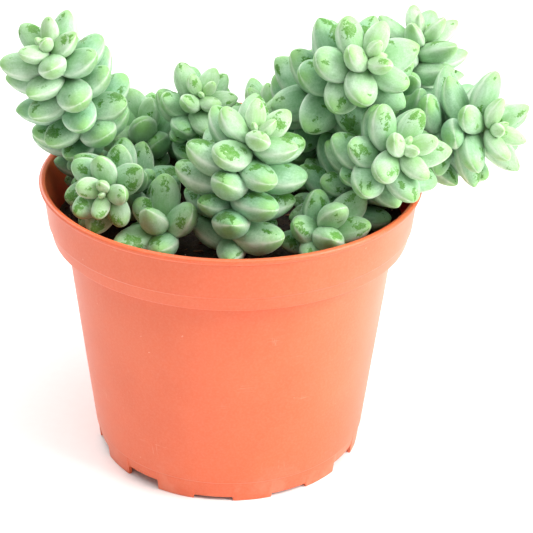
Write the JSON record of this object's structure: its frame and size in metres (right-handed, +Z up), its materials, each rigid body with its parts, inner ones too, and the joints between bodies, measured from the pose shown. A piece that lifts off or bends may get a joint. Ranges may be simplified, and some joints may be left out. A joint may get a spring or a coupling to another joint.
{
  "type": "potted burro's tail plant",
  "caption": "Trailing succulent with plump spindle-shaped leaves spiralling round short upright shoots, growing in soil in a tapered plastic nursery pot with a rim band and notched feet.",
  "frame": {"origin": "on the ground under the middle of the whole plant's bounding box; the pot's own axis is 9.8 mm to the left of it (-X)", "axes": "+Z up along the pot's axis, +X to the right towards the shoots that lean out over the rim, +Y away from the front"},
  "size_m": [0.1416, 0.108, 0.1336],
  "materials": {
    "pot": "satin orange-terracotta polypropylene, lightly scratched",
    "soil": "damp dark peat with bark bits; wood stands in for peat and bark",
    "leaf": "water-filled leaf with a waxy pale bloom, rubbed off in places; rubber stands in for leaf tissue, whose density is close to water"
  },
  "bodies": {
    "root": {"pot": "pot", "soil": "soil", "shoot_left_tall": "leaf", "shoot_center": "leaf", "shoot_back_left": "leaf", "shoot_left_low": "leaf", "shoot_front_left": "leaf", "shoot_right_tall": "leaf", "shoot_back_right": "leaf", "shoot_far_right": "leaf", "shoot_right_front": "leaf", "shoot_front_low": "leaf", "shoot_front_right_low": "leaf", "shoot_back_center": "leaf", "loose_leaf_standing": "leaf", "loose_leaf_wall": "leaf", "loose_leaf_front": "leaf"}
  },
  "joints": []
}
